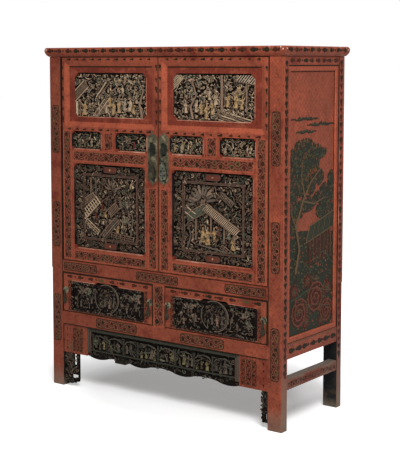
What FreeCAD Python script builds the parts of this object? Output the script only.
import FreeCAD, Part
import math
import os

V = FreeCAD.Vector

# Front, across: every width adds up to the width of the body
POST_W = 64.0
DOOR_GAP = 2.5
MEET_GAP = 2.0
STILE_W = 68.0
PANEL_W = 396.5
SMALL_MARGIN = 57.0
MUNTIN_W = 78.0
DIVIDER_W = 58.0
DRAWER_GAP = 2.0
DRAWER_MARGIN = 51.5
APRON_END_W = 137.0

# Front, upwards from the floor: every height adds up to the height of the body
APRON_Z = 150.0
APRON_H = 125.0
BOTTOM_RAIL_H = 57.0
DRAWER_SPACE_H = 176.0
MIDDLE_RAIL_H = 50.0
DOOR_FOOT_H = 57.5
LOWER_PANEL_H = 367.0
LOCK_RAIL_H = 59.0
SMALL_PANEL_H = 80.0
CROSS_RAIL_H = 59.0
UPPER_PANEL_H = 189.0
DOOR_HEAD_H = 65.5

# Front to back
BODY_D = 455.0
POST_D = 38.0
POST_ROUND = 6.0
FACE_SET = 1.0

# Top frame
TOP_T = 38.0
TOP_OVERHANG = 16.0
TOP_FOOT = 3.0
TOP_SHOULDER_H = 12.0
TOP_SHOULDER_IN = 6.0
TOP_MEMBER_W = 90.0
TOP_PANEL_T = 14.0
TOP_BATTEN_W = 40.0
TOP_BATTEN_H = 20.0
TOP_BATTEN_X = 230.0

# Sides and back
SIDE_SET = 2.0
SIDE_RAIL_T = 28.0
SIDE_TOP_H = 36.0
SIDE_BOTTOM_Z = 278.0
SIDE_BOTTOM_H = 60.0
SIDE_PANEL_T = 10.0
SIDE_PANEL_SET = 9.0
MOULDING_W = 22.0
MOULDING_T = 7.0
MOULDING_BEVEL = 3.0
STRETCHER_Z = 158.0
STRETCHER_H = 41.0
STRETCHER_T = 38.0
REAR_TOP_H = 60.0
BACK_T = 10.0
BACK_BOARDS = 4

# Inside
FLOOR_DROP = 4.0
FLOOR_T = 16.0
SHELF_Z = 1000.0
SHELF_T = 16.0
SHELF_SET = 14.0
BATTEN_SIZE = 24.0
BOTTOM_BOARD_RISE = 22.0
BOTTOM_BOARD_T = 10.0
RUNNER_W = 60.0
RUNNER_H = 20.0
GUIDE_H = 18.0
STOP_W = 60.0
STOP_T = 12.0
STOP_H = 20.0
STOP_CLEAR = 0.3

# Joinery
FIT = 0.1
TENON_L = 26.0
TENON_T = 12.0
TENON_SHOULDER = 8.0
SIDE_TENON_L = 20.0
TONGUE_T = 6.0
TONGUE_L = 7.0
POST_TENON_L = 18.0

# Doors
DOOR_T = 30.0
DOOR_TENON_L = 24.0
DOOR_TENON_T = 10.0
PIVOT_IN = 16.0
PIVOT_BACK = 12.0
PIVOT_R = 7.0
PIVOT_CLEAR = 0.08
PIVOT_TOP_L = 20.0
PIVOT_FOOT_L = 16.0
PIVOT_SEAT = 0.2
FIELD_MARGIN = 18.0
FIELD_RIM_H = 20.0
FIELD_DEPTH = 11.0
FIELD_BEVEL = 20.0
PANEL_BACK = 5.0
GROUND_DEPTH = 16.0
CORNER_DEPTH = 6.0
CORNER_R = 16.0
FRAME_MARGIN_X = 48.0
FRAME_MARGIN_Z = 42.0
FRAME_W = 8.0
FRAME_RISE = 6.0
FRAME_NOTCH = 22.0

# Drawers
DRAWER_FRONT_T = 26.0
DRAWER_FOOT_H = 15.0
DRAWER_CARVING_H = 114.0
DRAWER_ARCH_W = 134.0
DRAWER_ARCH_H = 15.0
DRAWER_POCKET = 13.0
DRAWER_CARVING_T = 5.0
DRAWER_RING_R = 32.0
DRAWER_RING_W = 6.0
DRAWER_RING_H = 4.0
DRAWER_SIDE_T = 12.0
DRAWER_SIDE_SET = 3.0
DRAWER_SIDE_DROP = 6.0
DRAWER_LAP = 10.0
DRAWER_BACK_CLEAR = 26.0
DRAWER_BOTTOM_T = 8.0
DRAWER_BOTTOM_RISE = 12.0
DRAWER_RUN = 0.3
DRAWER_PLAY = 1.0

# Apron and foot brackets
APRON_SET = 4.0
APRON_T = 20.0
APRON_DROP = 10.0
APRON_LOBES = 7
BRACKET_T = 16.0
BRACKET_W = 85.0
BRACKET_H = 140.0
BRACKET_RISE = 25.0
BRACKET_EYE_R = 12.0
STUB_W = 40.0
STUB_H = 128.0

# Metal fittings
PLATE_W = 48.0
PLATE_H = 230.0
PLATE_T = 2.0
PLATE_IN = 4.0
PLATE_DROP = 43.0
PIN_R = 2.0
PULL_CLEAR = 0.08
PULL_STAND = 7.0
PULL_LEG_X = 7.0
EYE_R = 4.0
EYE_L = 9.0
PULL_T = 3.0
DOOR_PULL_W = 38.0
DOOR_PULL_L = 72.0
DOOR_PULL_DROP = 132.0
DRAWER_PULL_W = 22.0
DRAWER_PULL_L = 64.0
DRAWER_PULL_IN = 17.0
DRAWER_PULL_DROP = 78.0
ROSETTE_R = 14.0
STAPLE_R = 3.5
STAPLE_H = 46.0
STAPLE_STAND = 11.0
STAPLE_DROP = 75.0

# Places that follow from the sizes above
door_w = 2 * STILE_W + PANEL_W
x_in = MEET_GAP / 2 + door_w + DOOR_GAP
x_out = x_in + POST_W
y_front = -BODY_D / 2
y_rear = BODY_D / 2
y_front_in = y_front + POST_D
y_rear_in = y_rear - POST_D
y_face = y_front + FACE_SET

z_bottom_rail = APRON_Z + APRON_H
z_drawers = z_bottom_rail + BOTTOM_RAIL_H
z_middle_rail = z_drawers + DRAWER_SPACE_H
z_doors = z_middle_rail + MIDDLE_RAIL_H
z_door_foot = z_doors + DOOR_GAP
z_lower = z_door_foot + DOOR_FOOT_H
z_lock_rail = z_lower + LOWER_PANEL_H
z_small = z_lock_rail + LOCK_RAIL_H
z_cross_rail = z_small + SMALL_PANEL_H
z_upper = z_cross_rail + CROSS_RAIL_H
z_head = z_upper + UPPER_PANEL_H
z_door_top = z_head + DOOR_HEAD_H
body_h = z_door_top + DOOR_GAP
z_top = body_h + TOP_T

door_x0 = MEET_GAP / 2
door_x1 = x_in - DOOR_GAP
y_tongue = y_face + DOOR_T - PANEL_BACK - TONGUE_T
pivot_x = door_x1 - PIVOT_IN
pivot_y = y_face + PIVOT_BACK
y_door_back = y_face + DOOR_T

x_rail_out = x_out - SIDE_SET
x_rail_in = x_rail_out - SIDE_RAIL_T
x_panel_out = x_rail_out - SIDE_PANEL_SET
x_panel_in = x_panel_out - SIDE_PANEL_T
z_side_low = SIDE_BOTTOM_Z + SIDE_BOTTOM_H
z_side_high = body_h - SIDE_TOP_H
y_back_mid = (y_rear + y_rear_in) / 2

drawer_x0 = DIVIDER_W / 2 + DRAWER_GAP
drawer_x1 = x_in - DRAWER_GAP
drawer_z0 = z_drawers + DRAWER_GAP
drawer_z1 = z_middle_rail - DRAWER_GAP
drawer_side_z1 = drawer_z1 - DRAWER_SIDE_DROP
y_drawer_back = y_rear_in - DRAWER_BACK_CLEAR
y_drawer_inner = y_face + DRAWER_FRONT_T
z_runner = drawer_z0 - DRAWER_RUN
z_floor = z_doors - FLOOR_DROP - FLOOR_T

pieces = {}
sockets = {}


def box(x0, x1, y0, y1, z0, z1):
    """Block between two corners."""
    return Part.makeBox(x1 - x0, y1 - y0, z1 - z0, V(x0, y0, z0))


def hand(side, shape):
    """Shape drawn for the right, mirrored when it belongs to the left."""
    if side == "right":
        return shape
    return shape.mirror(V(0, 0, 0), V(1, 0, 0))


def span(side, low, high):
    """Distances from the middle, as X values on one side."""
    if side == "right":
        return low, high
    return -high, -low


def add(node, *solids):
    """File solids under the name of their piece."""
    pieces.setdefault(node, []).extend(solids)


def open_up(node, tool):
    """Note a cut to be made in a piece once all pieces exist."""
    sockets.setdefault(node, []).append(tool)


def let_in(receiver, x0, x1, y0, y1, z0, z1):
    """Tenon or tongue, with its fitted socket noted for the piece that takes it."""
    open_up(receiver, box(x0 - FIT, x1 + FIT, y0 - FIT, y1 + FIT, z0 - FIT, z1 + FIT))
    return box(x0, x1, y0, y1, z0, z1)


def outline(points):
    """Closed XZ wire at Y 0. A step is a point, or a pair of an arc's middle and end point."""
    start = points[0]
    edges = []
    for step in points[1:] + [start]:
        if isinstance(step[0], tuple):
            middle, end = step
            a, b, c = (V(p[0], 0, p[1]) for p in (start, middle, end))
            edges.append(Part.Arc(a, b, c).toShape())
        else:
            end = step
            if end != start:
                edges.append(Part.makeLine(V(start[0], 0, start[1]), V(end[0], 0, end[1])))
        start = end
    return Part.Wire(edges)


def slab(points, y0, y1):
    """Outline drawn on the front, given a thickness from y0 back to y1."""
    shape = Part.Face(outline(points)).extrude(V(0, y1 - y0, 0))
    shape.translate(V(0, y0, 0))
    return shape


def shifted(points, dx, dz):
    """Outline steps moved across and up."""
    moved = []
    for step in points:
        if isinstance(step[0], tuple):
            moved.append(tuple((p[0] + dx, p[1] + dz) for p in step))
        else:
            moved.append((step[0] + dx, step[1] + dz))
    return moved


def rounded(x0, x1, z0, z1, r):
    """Rectangle with round corners, as outline steps."""
    k = r * (1 - 0.5 ** 0.5)
    return [
        (x0 + r, z0), (x1 - r, z0), ((x1 - k, z0 + k), (x1, z0 + r)),
        (x1, z1 - r), ((x1 - k, z1 - k), (x1 - r, z1)),
        (x0 + r, z1), ((x0 + k, z1 - k), (x0, z1 - r)),
        (x0, z0 + r), ((x0 + k, z0 + k), (x0 + r, z0)),
    ]


def notched(x0, x1, z0, z1, r):
    """Rectangle with scooped corners, as outline steps."""
    k = r * 0.5 ** 0.5
    return [
        (x0 + r, z0), (x1 - r, z0), ((x1 - k, z0 + k), (x1, z0 + r)),
        (x1, z1 - r), ((x1 - k, z1 - k), (x1 - r, z1)),
        (x0 + r, z1), ((x0 + k, z1 - k), (x0, z1 - r)),
        (x0, z0 + r), ((x0 + k, z0 + k), (x0 + r, z0)),
    ]


def rod(start, along, radius):
    """Round bar from a point along a vector."""
    return Part.makeCylinder(radius, along.Length, start, along)


def build_posts():
    """Four corner posts, round at the outer corner, tenoned up into the top."""
    for depth in ("front", "rear"):
        y0, y1 = (y_front, y_front_in) if depth == "front" else (y_rear_in, y_rear)
        y_corner = y_front if depth == "front" else y_rear
        inward = 1 if depth == "front" else -1
        for side in ("left", "right"):
            post = box(x_in, x_out, y0, y1, 0, body_h)
            corner = [
                e for e in post.Edges
                if abs(e.CenterOfMass.x - x_out) < FIT and abs(e.CenterOfMass.y - y_corner) < FIT
            ]
            post = post.makeFillet(POST_ROUND, corner)
            ya = y_corner + inward * TENON_SHOULDER
            yb = ya + inward * TENON_T
            x0, x1 = span(side, x_in + TENON_SHOULDER, x_in + TENON_SHOULDER + TENON_L)
            tenon = let_in(
                "top_%s_member" % depth,
                x0, x1, min(ya, yb), max(ya, yb), body_h, body_h + POST_TENON_L,
            )
            add("%s_%s_post" % (depth, side), hand(side, post).fuse(tenon))


def build_cross_rail(node, depth, z0, height):
    """Rail across the front or rear between two posts, with a tenon at each end."""
    y0, y1 = (y_front, y_front_in) if depth == "front" else (y_rear_in, y_rear)
    middle = (y0 + y1) / 2
    rail = box(-x_in, x_in, y0, y1, z0, z0 + height)
    for side in ("left", "right"):
        x0, x1 = span(side, x_in, x_in + TENON_L)
        tenon = let_in(
            "%s_%s_post" % (depth, side),
            x0, x1, middle - TENON_T / 2, middle + TENON_T / 2,
            z0 + TENON_SHOULDER, z0 + height - TENON_SHOULDER,
        )
        rail = rail.fuse(tenon)
    add(node, rail)


def build_side_bar(node, side, x0, x1, z0, z1):
    """Bar from front post to rear post along one side, with a tenon at each end."""
    bar = box(*span(side, x0, x1), y_front_in, y_rear_in, z0, z1)
    middle = (x0 + x1) / 2
    tx0, tx1 = span(side, middle - TENON_T / 2, middle + TENON_T / 2)
    za, zb = z0 + TENON_SHOULDER, z1 - TENON_SHOULDER
    front = let_in("front_%s_post" % side, tx0, tx1, y_front_in - SIDE_TENON_L, y_front_in, za, zb)
    rear = let_in("rear_%s_post" % side, tx0, tx1, y_rear_in, y_rear_in + SIDE_TENON_L, za, zb)
    add(node, bar.fuse([front, rear]))


def bulge(out, z, reach, rise):
    """Middle of the arc that is upright at (out, z) and comes in by reach where it is rise further up."""
    radius = (reach ** 2 + rise ** 2) / (2 * reach)
    half = math.atan2(reach, abs(rise))
    return (out - radius * (1 - math.cos(half)), z + math.copysign(radius * math.sin(half), rise))


def build_top():
    """Mitred top frame with a rounded edge, a floating panel and two battens under it."""
    out = TOP_OVERHANG
    inner = out - TOP_MEMBER_W
    z_shoulder = z_top - TOP_SHOULDER_H
    belly = bulge(out, z_shoulder, out - TOP_FOOT, body_h - z_shoulder)
    shoulder = bulge(out, z_shoulder, TOP_SHOULDER_IN, TOP_SHOULDER_H)
    profile = [
        (inner, body_h), (TOP_FOOT, body_h), (belly, (out, z_shoulder)),
        (shoulder, (out - TOP_SHOULDER_IN, z_top)), (inner, z_top),
    ]
    half_x = x_out + out
    half_y = y_rear + out
    in_x = half_x - TOP_MEMBER_W
    in_y = half_y - TOP_MEMBER_W
    long_bar = Part.Face(outline(profile)).extrude(V(0, 2 * half_x, 0))
    long_bar.translate(V(0, -half_x, 0))
    corners = [(half_x, half_y), (in_x, in_y), (-in_x, in_y), (-half_x, half_y)]
    for depth, turn in (("rear", 90), ("front", -90)):
        bar = long_bar.copy()
        bar.translate(V(y_rear, 0, 0))
        bar.rotate(V(0, 0, 0), V(0, 0, 1), turn)
        sign = 1 if depth == "rear" else -1
        plan = [V(x, sign * y, body_h) for x, y in corners]
        keep = Part.Face(Part.makePolygon(plan + plan[:1])).extrude(V(0, 0, TOP_T))
        add("top_%s_member" % depth, bar.common(keep))
    corners = [(half_x, half_y), (half_x, -half_y), (in_x, -in_y), (in_x, in_y)]
    for side in ("left", "right"):
        bar = long_bar.copy()
        bar.translate(V(x_out, 0, 0))
        plan = [V(x, y, body_h) for x, y in corners]
        keep = Part.Face(Part.makePolygon(plan + plan[:1])).extrude(V(0, 0, TOP_T))
        add("top_end_members", hand(side, bar.common(keep)))

    z_panel = z_top - TOP_PANEL_T
    edge = FIT
    panel = box(-in_x + edge, in_x - edge, -in_y + edge, in_y - edge, z_panel, z_top)
    reach_x, reach_y = in_x + TONGUE_L, in_y + TONGUE_L
    tongue = box(-reach_x, reach_x, -reach_y, reach_y, z_panel, z_panel + TONGUE_T)
    groove = box(
        -reach_x - FIT, reach_x + FIT, -reach_y - FIT, reach_y + FIT,
        z_panel - FIT, z_panel + TONGUE_T + FIT,
    )
    for node in ("top_front_member", "top_rear_member", "top_end_members"):
        open_up(node, groove)
    add("top_panel", panel.fuse(tongue))

    for x in (-TOP_BATTEN_X, TOP_BATTEN_X):
        x0, x1 = x - TOP_BATTEN_W / 2, x + TOP_BATTEN_W / 2
        z0 = z_panel - TOP_BATTEN_H
        batten = box(x0, x1, -in_y, in_y, z0, z_panel)
        ends = [("top_front_member", -in_y - TONGUE_L, -in_y), ("top_rear_member", in_y, in_y + TONGUE_L)]
        for node, y0, y1 in ends:
            tenon = let_in(
                node, x0 + TENON_SHOULDER, x1 - TENON_SHOULDER, y0, y1,
                z0 + TONGUE_T / 2, z0 + TOP_BATTEN_H * 0.6,
            )
            batten = batten.fuse(tenon)
        add("top_battens", batten)


def build_sides():
    """Side rails, panels let into grooves, mouldings round the panels and low stretchers."""
    for side in ("left", "right"):
        rails = "%s_side_rails" % side
        posts = ("front_%s_post" % side, "rear_%s_post" % side)
        build_side_bar(rails, side, x_rail_in, x_rail_out, z_side_high, body_h)
        build_side_bar(rails, side, x_rail_in, x_rail_out, SIDE_BOTTOM_Z, z_side_low)
        build_side_bar(
            "side_stretchers", side,
            x_rail_out - STRETCHER_T, x_rail_out, STRETCHER_Z, STRETCHER_Z + STRETCHER_H,
        )
        reach = (
            *span(side, x_panel_in, x_panel_out), y_front_in - TONGUE_L, y_rear_in + TONGUE_L,
            z_side_low - TONGUE_L, z_side_high + TONGUE_L,
        )
        panel = let_in(rails, *reach)
        for post in posts:
            let_in(post, *reach)
        add("%s_side_panel" % side, panel)
        build_side_moulding(side)


def build_side_moulding(side):
    """Four mitred strips that cover the edge of one side panel."""
    w = MOULDING_W
    y0, y1, z0, z1 = y_front_in, y_rear_in, z_side_low, z_side_high
    strips = [
        [(y0, z0), (y1, z0), (y1 - w, z0 + w), (y0 + w, z0 + w)],
        [(y0, z1), (y1, z1), (y1 - w, z1 - w), (y0 + w, z1 - w)],
        [(y0, z0), (y0, z1), (y0 + w, z1 - w), (y0 + w, z0 + w)],
        [(y1, z0), (y1, z1), (y1 - w, z1 - w), (y1 - w, z0 + w)],
    ]
    x1 = x_panel_out + MOULDING_T
    y_mid, z_mid = (y0 + y1) / 2, (z0 + z1) / 2
    for strip in strips:
        ring = [V(x_panel_out, y, z) for y, z in strip]
        solid = Part.Face(Part.makePolygon(ring + ring[:1])).extrude(V(MOULDING_T, 0, 0))
        front = [e for e in solid.Edges if all(abs(v.X - x1) < FIT for v in e.Vertexes)]
        front.sort(key=lambda e: abs(e.CenterOfMass.y - y_mid) + abs(e.CenterOfMass.z - z_mid))
        long_edges = [e for e in front if e.Length > 2 * w]
        solid = solid.makeChamfer(MOULDING_BEVEL, long_edges[:1])
        add("side_mouldings", hand(side, solid))


def build_front_frame():
    """Front rails, the divider between the drawers, the rear rails and the back boards."""
    build_cross_rail("front_bottom_rail", "front", z_bottom_rail, BOTTOM_RAIL_H)
    build_cross_rail("front_middle_rail", "front", z_middle_rail, MIDDLE_RAIL_H)
    half = DIVIDER_W / 2
    middle = (y_front + y_front_in) / 2
    divider = box(-half, half, y_front, y_front_in, z_drawers, z_middle_rail)
    ends = [
        ("front_bottom_rail", z_drawers - SIDE_TENON_L, z_drawers),
        ("front_middle_rail", z_middle_rail, z_middle_rail + SIDE_TENON_L),
    ]
    for node, z0, z1 in ends:
        tenon = let_in(
            node, -half + TENON_SHOULDER, half - TENON_SHOULDER,
            middle - TENON_T / 2, middle + TENON_T / 2, z0, z1,
        )
        divider = divider.fuse(tenon)
    add("drawer_divider", divider)


def build_back():
    """Rear rails with plain boards in their grooves."""
    build_cross_rail("rear_rails", "rear", z_bottom_rail, BOTTOM_RAIL_H)
    build_cross_rail("rear_rails", "rear", z_middle_rail, MIDDLE_RAIL_H)
    build_cross_rail("rear_rails", "rear", body_h - REAR_TOP_H, REAR_TOP_H)
    y0, y1 = y_back_mid - BACK_T / 2, y_back_mid + BACK_T / 2
    reach = x_in + TONGUE_L
    board_w = 2 * reach / BACK_BOARDS
    for low, high in ((z_drawers, z_middle_rail), (z_doors, body_h - REAR_TOP_H)):
        let_in("rear_left_post", -reach, reach, y0, y1, low - TONGUE_L, high + TONGUE_L)
        let_in("rear_right_post", -reach, reach, y0, y1, low - TONGUE_L, high + TONGUE_L)
        let_in("rear_rails", -x_in, x_in, y0, y1, low - TONGUE_L, high + TONGUE_L)
        for i in range(BACK_BOARDS):
            x0 = -reach + i * board_w
            add("back_boards", box(x0, x0 + board_w, y0, y1, low - TONGUE_L, high + TONGUE_L))


def build_deck(node, x_half, z0, thick, front_rail, rear_rail):
    """Board from front rail to rear rail, with a tongue in each."""
    board = box(-x_half, x_half, y_front_in, y_rear_in, z0, z0 + thick)
    low, high = z0 + thick * 0.25, z0 + thick * 0.75
    reach = x_in - TENON_SHOULDER
    front = let_in(front_rail, -reach, reach, y_front_in - TONGUE_L, y_front_in, low, high)
    rear = let_in(rear_rail, -reach, reach, y_rear_in, y_rear_in + TONGUE_L, low, high)
    add(node, board.fuse([front, rear]))


def build_inside():
    """Cupboard floor, shelf on battens, closing board, drawer runners, guides and kickers."""
    build_deck("cupboard_floor", x_panel_in - DOOR_GAP, z_floor, FLOOR_T, "front_middle_rail", "rear_rails")
    build_deck(
        "bottom_board", x_rail_in, z_bottom_rail + BOTTOM_BOARD_RISE, BOTTOM_BOARD_T,
        "front_bottom_rail", "rear_rails",
    )
    y_shelf = y_door_back + PIVOT_IN + SHELF_SET
    shelf = box(-x_rail_in, x_rail_in, y_shelf, y_rear_in, SHELF_Z, SHELF_Z + SHELF_T)
    add("shelf", shelf)
    for side in ("left", "right"):
        x0, x1 = span(side, x_rail_in - BATTEN_SIZE, x_rail_in)
        add("shelf_battens", box(x0, x1, y_front_in, y_rear_in, SHELF_Z - BATTEN_SIZE, SHELF_Z))

    side_face = drawer_x1 - DRAWER_SIDE_SET + DRAWER_PLAY
    inner_face = drawer_x0 + DRAWER_SIDE_SET - DRAWER_PLAY
    outer = side_face + DRAWER_SIDE_T
    runs = [(-inner_face, inner_face, -RUNNER_W, RUNNER_W)]
    for side in ("left", "right"):
        runs.append(span(side, side_face, outer) + span(side, outer - RUNNER_W, outer))
    for gx0, gx1, rx0, rx1 in runs:
        z0 = z_runner - RUNNER_H
        runner = box(rx0, rx1, y_front_in, y_rear_in, z0, z_runner)
        low, high = z0 + RUNNER_H * 0.25, z0 + RUNNER_H * 0.75
        tx0, tx1 = max(rx0, -x_in) + TENON_SHOULDER, min(rx1, x_in) - TENON_SHOULDER
        front = let_in("front_bottom_rail", tx0, tx1, y_front_in - TONGUE_L, y_front_in, low, high)
        rear = let_in("rear_rails", tx0, tx1, y_rear_in, y_rear_in + TONGUE_L, low, high)
        add("drawer_runners", runner.fuse([front, rear]))
        add("drawer_guides", box(gx0, gx1, y_front_in, y_rear_in, z_runner, z_runner + GUIDE_H))
        z_kick = drawer_side_z1 + DRAWER_PLAY
        add("drawer_guides", box(rx0, rx1, y_front_in, y_rear_in, z_kick, z_floor))

    y0 = y_door_back + STOP_CLEAR
    for z0 in (z_doors, body_h - STOP_H):
        add("door_stops", box(-STOP_W, STOP_W, y0, y0 + STOP_T, z0, z0 + STOP_H))


def build_apron():
    """Apron below the bottom rail: a carved middle with a lobed edge and two plain ends."""
    y0, y1 = y_front + APRON_SET, y_front + APRON_SET + APRON_T
    middle = (y0 + y1) / 2
    half = x_in - APRON_END_W
    z1 = z_bottom_rail
    lobe = 2 * half / APRON_LOBES
    edge = [(-half, z1), (-half, APRON_Z)]
    for i in range(APRON_LOBES):
        x = -half + i * lobe
        dip = APRON_Z - APRON_DROP if i % 2 == 0 else APRON_Z + APRON_DROP / 2
        edge.append(((x + lobe / 2, dip), (x + lobe, APRON_Z)))
    edge.append((half, z1))
    tongue = let_in(
        "front_bottom_rail", -half + TENON_SHOULDER, half - TENON_SHOULDER,
        middle - TONGUE_T / 2, middle + TONGUE_T / 2, z1, z1 + TONGUE_L,
    )
    add("apron_carving", slab(edge, y0, y1).fuse(tongue))
    for side in ("left", "right"):
        x0, x1 = span(side, half, x_in)
        tongue = let_in(
            "front_bottom_rail", x0 + TENON_SHOULDER, x1 - TENON_SHOULDER,
            middle - TONGUE_T / 2, middle + TONGUE_T / 2, z1, z1 + TONGUE_L,
        )
        add("apron_%s_end" % side, box(x0, x1, y0, y1, APRON_Z, z1).fuse(tongue))


def build_brackets():
    """Pierced bracket at the left foot, and the worn-down one at the right foot."""
    y0 = y_front + APRON_SET
    y1 = y0 + BRACKET_T
    middle = (y0 + y1) / 2
    z1 = APRON_Z
    z0 = z1 - BRACKET_H
    left = slab(
        [
            (-x_in, z0), (-x_in + BRACKET_W * 0.2, z0),
            ((-x_in + BRACKET_W * 0.55, z0 + BRACKET_RISE * 0.35), (-x_in + BRACKET_W, z0 + BRACKET_RISE)),
            (-x_in + BRACKET_W, z1), (-x_in, z1),
        ],
        y0, y1,
    )
    for share in (0.34, 0.72):
        eye = V(-x_in + BRACKET_W * 0.7, y0, z0 + BRACKET_H * share)
        left = left.cut(rod(eye, V(0, BRACKET_T, 0), BRACKET_EYE_R))
    z2 = z1 - STUB_H
    right = slab(
        [
            (x_in, z1), (x_in - STUB_W, z1),
            ((x_in - STUB_W * 0.95, z1 - STUB_H * 0.2), (x_in - STUB_W * 0.8, z1 - STUB_H * 0.4)),
            ((x_in - STUB_W, z1 - STUB_H * 0.6), (x_in - STUB_W * 0.85, z1 - STUB_H * 0.8)),
            ((x_in - STUB_W * 0.75, z2 + STUB_H * 0.06), (x_in - STUB_W * 0.4, z2)),
            (x_in, z2),
        ],
        y0, y1,
    )
    for side, shape, low in (("left", left, z0), ("right", right, z2)):
        x0, x1 = span(side, x_in, x_in + TONGUE_L)
        tongue = let_in(
            "front_%s_post" % side, x0, x1, middle - TONGUE_T / 2, middle + TONGUE_T / 2,
            low + TENON_SHOULDER, z1 - TENON_SHOULDER,
        )
        add("%s_foot_bracket" % side, shape.fuse(tongue))


def field_pocket(side):
    """Sunk field at the head of a door, with sloping sides, as a cutting tool."""
    x0, x1 = span(side, door_x0 + FIELD_MARGIN, door_x1 - FIELD_MARGIN)
    z0 = z_upper - FIELD_RIM_H - FIELD_BEVEL
    z1 = z_door_top - FIELD_MARGIN
    b = FIELD_BEVEL
    rims = []
    for y, k in ((y_face, 0.0), (y_face + FIELD_DEPTH, b)):
        ring = [V(x0 + k, y, z0 + k), V(x1 - k, y, z0 + k), V(x1 - k, y, z1 - k), V(x0 + k, y, z1 - k)]
        rims.append(Part.makePolygon(ring + ring[:1]))
    return Part.makeLoft(rims, True, True)


def carved_board(x0, x1, z0, z1, y_ground, y_corner, takers):
    """Panel that fills an opening, with tongues all round and filled-in round corners."""
    board = box(x0 + FIT, x1 - FIT, y_ground, y_tongue + TONGUE_T, z0 + FIT, z1 - FIT)
    reach = (
        x0 - TONGUE_L, x1 + TONGUE_L, y_tongue, y_tongue + TONGUE_T, z0 - TONGUE_L, z1 + TONGUE_L,
    )
    tongue = box(*reach)
    for node in takers:
        let_in(node, *reach)
    rim = box(x0 + FIT, x1 - FIT, y_corner, y_ground, z0 + FIT, z1 - FIT)
    rim = rim.cut(slab(rounded(x0 + FIT, x1 - FIT, z0 + FIT, z1 - FIT, CORNER_R), y_corner, y_ground))
    return board.fuse(tongue).fuse(rim.Solids).removeSplitter()


def build_door(side):
    """One door: two stiles, four rails, a muntin, carved panels and metal fittings."""
    name = "%s_door_" % side
    hinge, meeting, rails = name + "hinge_stile", name + "meeting_stile", name + "rails"
    inner, outer = door_x0 + STILE_W, door_x1 - STILE_W
    build_stiles(side, hinge, meeting)

    y_tenon = y_tongue + TONGUE_T - DOOR_TENON_T
    pocket = field_pocket(side)
    levels = [
        (z_door_foot, z_lower), (z_lock_rail, z_small), (z_cross_rail, z_upper), (z_head, z_door_top),
    ]
    for z0, z1 in levels:
        x0, x1 = span(side, inner, outer)
        rail = box(x0, x1, y_face, y_door_back, z0, z1)
        for node, near, far in ((meeting, inner - DOOR_TENON_L, inner), (hinge, outer, outer + DOOR_TENON_L)):
            tx0, tx1 = span(side, near, far)
            za, zb = z0 + TENON_SHOULDER, z1 - TENON_SHOULDER
            rail = rail.fuse(let_in(node, tx0, tx1, y_tenon, y_tenon + DOOR_TENON_T, za, zb))
        add(rails, rail.cut(pocket))
    for node in (hinge, meeting):
        open_up(node, pocket)

    middle = (door_x0 + door_x1) / 2
    x0, x1 = span(side, middle - MUNTIN_W / 2, middle + MUNTIN_W / 2)
    muntin = box(x0, x1, y_face, y_door_back, z_small, z_cross_rail)
    za, zb = z_small - DOOR_TENON_T, z_cross_rail + DOOR_TENON_T
    core = (x0 + TENON_SHOULDER, x1 - TENON_SHOULDER, y_tenon, y_tenon + DOOR_TENON_T)
    muntin_tenons = [let_in(rails, *core, za, z_small), let_in(rails, *core, z_cross_rail, zb)]

    small = name + "small_carvings"
    y_ground, y_corner = y_face + GROUND_DEPTH, y_face + CORNER_DEPTH
    spans = [
        (door_x0 + SMALL_MARGIN, middle - MUNTIN_W / 2),
        (middle + MUNTIN_W / 2, door_x1 - SMALL_MARGIN),
    ]
    for low, high in spans:
        sx0, sx1 = span(side, low, high)
        for node in (hinge, meeting):
            open_up(node, box(sx0, sx1, y_face, y_tongue, z_small, z_cross_rail))
        add(small, carved_board(sx0, sx1, z_small, z_cross_rail, y_ground, y_corner, (hinge, meeting, rails)))
        groove = box(
            sx0 - TONGUE_L - FIT, sx1 + TONGUE_L + FIT, y_tongue - FIT, y_tongue + TONGUE_T + FIT,
            z_small, z_cross_rail,
        )
        muntin = muntin.cut(groove)
    add(rails, muntin.fuse(muntin_tenons))

    ox0, ox1 = span(side, inner, outer)
    takers = (hinge, meeting, rails)
    upper = carved_board(ox0, ox1, z_upper, z_head, y_tongue, y_face + FIELD_DEPTH + FIT, takers)
    add(name + "upper_carving", upper)
    lower = carved_board(ox0, ox1, z_lower, z_lock_rail, y_ground, y_corner, takers)
    fx0, fx1 = ox0 + FRAME_MARGIN_X, ox1 - FRAME_MARGIN_X
    fz0, fz1 = z_lower + FRAME_MARGIN_Z, z_lock_rail - FRAME_MARGIN_Z
    w = FRAME_W
    ring = slab(notched(fx0, fx1, fz0, fz1, FRAME_NOTCH), y_ground - FRAME_RISE, y_ground)
    hole = notched(fx0 + w, fx1 - w, fz0 + w, fz1 - w, FRAME_NOTCH)
    ring = ring.cut(slab(hole, y_ground - FRAME_RISE, y_ground))
    add(name + "lower_carving", lower.fuse(ring).removeSplitter())
    build_door_fittings(side, name)


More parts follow.
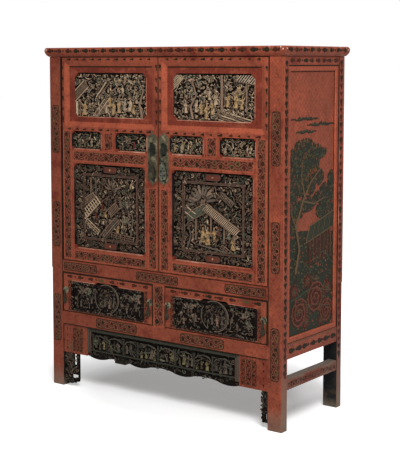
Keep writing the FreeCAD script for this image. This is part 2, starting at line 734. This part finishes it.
def build_stiles(side, hinge, meeting):
    """Hinge stile with wooden pivots and a round front corner, and the meeting stile."""
    stile = box(door_x1 - STILE_W, door_x1, y_face, y_door_back, z_door_foot, z_door_top)
    height = z_door_top - z_door_foot
    corner = box(pivot_x, door_x1, y_face, pivot_y, z_door_foot, z_door_top)
    corner = corner.cut(rod(V(pivot_x, pivot_y, z_door_foot), V(0, 0, height), PIVOT_IN))
    stile = stile.cut(corner)
    head = rod(V(pivot_x, pivot_y, z_door_top), V(0, 0, PIVOT_TOP_L), PIVOT_R)
    foot = rod(V(pivot_x, pivot_y, z_door_foot), V(0, 0, -PIVOT_FOOT_L), PIVOT_R)
    add(hinge, hand(side, stile.fuse([head, foot])))
    bore = PIVOT_R + PIVOT_CLEAR
    top_hole = rod(V(pivot_x, pivot_y, body_h), V(0, 0, PIVOT_TOP_L), bore)
    foot_depth = PIVOT_FOOT_L - DOOR_GAP + PIVOT_SEAT
    foot_hole = rod(V(pivot_x, pivot_y, z_doors), V(0, 0, -foot_depth), bore)
    open_up("top_front_member", hand(side, top_hole))
    open_up("front_middle_rail", hand(side, foot_hole))
    x0, x1 = span(side, door_x0, door_x0 + STILE_W)
    add(meeting, box(x0, x1, y_face, y_door_back, z_door_foot, z_door_top))


def staple(x, y, z, legs, reach, radius):
    """Bent wire staple: two legs that stand out from y and a bar that joins them."""
    bar_y = y - reach
    across = legs.cross(V(0, 1, 0))
    a, b = V(x, bar_y, z) - legs, V(x, bar_y, z) + legs
    bar = rod(a, b - a, radius)
    parts = []
    for end in (a, b):
        parts.append(rod(end, V(0, reach, 0), radius))
        parts.append(Part.makeSphere(radius, end, across))
    return bar.fuse(parts)


def drop(x, y, z, points, holes):
    """Hanging pull: an eye round the staple's bar and a flat drop below it."""
    eye = rod(V(x - EYE_L / 2, y, z), V(EYE_L, 0, 0), EYE_R)
    plate = slab(shifted(points, x, z), y - PULL_T / 2, y + PULL_T / 2)
    for hx, hz, r in holes:
        plate = plate.cut(rod(V(x + hx, y - PULL_T, z + hz), V(0, 2 * PULL_T, 0), r))
    bore = rod(V(x - EYE_L, y, z), V(2 * EYE_L, 0, 0), PIN_R + PULL_CLEAR)
    return plate.fuse(eye).cut(bore)


def build_door_fittings(side, name):
    """Lobed plate, lock staple, pull staple and drop pull of one door."""
    w, h = PLATE_W / 2, PLATE_H
    x = (door_x0 + PLATE_IN + w) * (1 if side == "right" else -1)
    z1 = z_upper - PLATE_DROP
    plate = [
        (-w, -h * 0.84), (-w, -h * 0.16), ((-w * 0.87, -h * 0.1), (-w * 0.5, -h * 0.075)),
        ((-w * 0.19, -h * 0.052), (0, 0)),
        ((w * 0.19, -h * 0.052), (w * 0.5, -h * 0.075)), ((w * 0.87, -h * 0.1), (w, -h * 0.16)),
        (w, -h * 0.84), ((w * 0.87, -h * 0.9), (w * 0.5, -h * 0.925)),
        ((w * 0.19, -h * 0.948), (0, -h)),
        ((-w * 0.19, -h * 0.948), (-w * 0.5, -h * 0.925)), ((-w * 0.87, -h * 0.9), (-w, -h * 0.84)),
    ]
    y = y_face - PLATE_T
    solid = slab(shifted(plate, x, z1), y, y_face)
    lock = staple(x, y, z1 - STAPLE_DROP, V(0, 0, STAPLE_H / 2), STAPLE_STAND, STAPLE_R)
    z_eye = z1 - DOOR_PULL_DROP
    hook = staple(x, y, z_eye, V(PULL_LEG_X, 0, 0), PULL_STAND, PIN_R)
    add(name + "plate", solid.fuse(hook), lock)
    w, h = DOOR_PULL_W / 2, DOOR_PULL_L - EYE_R
    body = [
        (-w * 0.2, 0), ((-w * 0.6, -h * 0.16), (-w * 0.62, -h * 0.3)),
        ((-w * 0.8, -h * 0.4), (-w * 0.78, -h * 0.52)), ((-w, -h * 0.74), (-w * 0.55, -h * 0.94)),
        ((0, -h), (w * 0.55, -h * 0.94)), ((w, -h * 0.74), (w * 0.78, -h * 0.52)),
        ((w * 0.8, -h * 0.4), (w * 0.62, -h * 0.3)), ((w * 0.6, -h * 0.16), (w * 0.2, 0)),
    ]
    holes = []
    if side == "right":
        hole = w * 0.2
        holes = [(0, -h * 0.3, hole), (0, -h * 0.86, hole)]
        holes += [(s * w * 0.42, -h * 0.44, hole) for s in (-1, 1)]
        holes += [(s * w * 0.5, -h * 0.72, hole) for s in (-1, 1)]
    add(name + "pull", drop(x, y - PULL_STAND, z_eye, body, holes))


def build_drawer(side):
    """One drawer: carved front, box, two pull plates and two drop pulls."""
    name = "%s_drawer_" % side
    x0, x1 = span(side, drawer_x0, drawer_x1)
    front = box(x0, x1, y_face, y_drawer_inner, drawer_z0, drawer_z1)
    middle = (x0 + x1) / 2
    w = (x1 - x0) / 2 - DRAWER_MARGIN
    zl = drawer_z0 + DRAWER_FOOT_H
    zh = zl + DRAWER_CARVING_H
    za = zh + DRAWER_ARCH_H
    a = DRAWER_ARCH_W / 2
    k = DRAWER_ARCH_H

    def field(e):
        return [
            (-w + e, zl + e), (w - e, zl + e), (w - e, zh - e), (a - e, zh - e),
            ((a - e - k * 0.3, za - e - k * 0.3), (a - e - k, za - e)), (-a + e + k, za - e),
            ((-a + e + k * 0.3, za - e - k * 0.3), (-a + e, zh - e)), (-w + e, zh - e),
        ]

    y_floor = y_face + DRAWER_POCKET
    front = front.cut(slab(shifted(field(0), middle, 0), y_face, y_floor))
    carving = slab(shifted(field(FIT), middle, 0), y_floor - DRAWER_CARVING_T, y_floor)
    ring_at = V(middle, y_floor - DRAWER_CARVING_T, (zl + zh) / 2)
    ring = rod(ring_at, V(0, -DRAWER_RING_H, 0), DRAWER_RING_R)
    ring = ring.cut(rod(ring_at, V(0, -DRAWER_RING_H, 0), DRAWER_RING_R - DRAWER_RING_W))
    add(name + "carving", carving.fuse(ring))
    add(name + "front", front)
    build_drawer_box(name, x0, x1)

    z_eye = drawer_z1 - DRAWER_PULL_DROP
    y = y_face - PLATE_T
    w, h = DRAWER_PULL_W / 2, DRAWER_PULL_L - EYE_R
    body = [
        (-w * 0.3, 0), ((-w * 0.35, -h * 0.3), (-w * 0.7, -h * 0.55)),
        ((-w, -h * 0.75), (-w * 0.6, -h * 0.93)), ((0, -h), (w * 0.6, -h * 0.93)),
        ((w, -h * 0.75), (w * 0.7, -h * 0.55)), ((w * 0.35, -h * 0.3), (w * 0.3, 0)),
    ]
    for end, x in (("left", x0 + DRAWER_PULL_IN), ("right", x1 - DRAWER_PULL_IN)):
        rosette = rod(V(x, y, z_eye), V(0, PLATE_T, 0), ROSETTE_R)
        hook = staple(x, y, z_eye, V(PULL_LEG_X, 0, 0), PULL_STAND, PIN_R)
        add(name + "pull_plates", rosette.fuse(hook))
        add(name + end + "_pull", drop(x, y - PULL_STAND, z_eye, body, []))


def build_drawer_box(name, x0, x1):
    """Sides lapped into the front, a housed back and a bottom in grooves."""
    node = name + "box"
    sx0, sx1 = x0 + DRAWER_SIDE_SET, x1 - DRAWER_SIDE_SET
    t = DRAWER_SIDE_T
    y_lap = y_drawer_inner - DRAWER_LAP
    zb = drawer_z0 + DRAWER_BOTTOM_RISE
    depth = t * 0.4
    bottom = (
        sx0 + t - depth, sx1 - t + depth, y_drawer_inner - depth, y_drawer_back, zb, zb + DRAWER_BOTTOM_T,
    )
    groove = box(
        bottom[0] - FIT, bottom[1] + FIT, bottom[2] - FIT, bottom[3] + t,
        zb - FIT, zb + DRAWER_BOTTOM_T + FIT,
    )
    open_up(name + "front", groove)
    back = (sx0 + t - depth, sx1 - t + depth, y_drawer_back - t, y_drawer_back)
    z_back = zb + DRAWER_BOTTOM_T + FIT
    housing = box(back[0] - FIT, back[1] + FIT, back[2] - FIT, back[3] + FIT, z_back, drawer_z1)
    for low, high in ((sx0, sx0 + t), (sx1 - t, sx1)):
        side = box(low, high, y_drawer_inner, y_drawer_back, drawer_z0, drawer_side_z1)
        lap = let_in(
            name + "front", low, high, y_lap, y_drawer_inner,
            drawer_z0 + TENON_SHOULDER, drawer_side_z1 - TENON_SHOULDER,
        )
        add(node, side.fuse(lap).cut(groove).cut(housing))
    add(node, box(*back, z_back, drawer_side_z1))
    add(node, box(*bottom))


def solids_after_cuts(node):
    """Solids of one piece with every noted socket cut out of them."""
    done = []
    for solid in pieces[node]:
        for tool in sockets.get(node, []):
            if solid.BoundBox.intersect(tool.BoundBox):
                solid = solid.cut(tool)
        done.extend(solid.removeSplitter().Solids)
    return done


def main():
    build_posts()
    build_top()
    build_front_frame()
    build_back()
    build_sides()
    build_inside()
    build_apron()
    build_brackets()
    for side in ("left", "right"):
        build_door(side)
        build_drawer(side)
    os.makedirs("parts", exist_ok=True)
    for node in pieces:
        solids = solids_after_cuts(node)
        shape = solids[0] if len(solids) == 1 else Part.makeCompound(solids)
        shape.exportStep("parts/%s.step" % node)
        print(node, len(solids), all(s.isValid() for s in solids))


main()
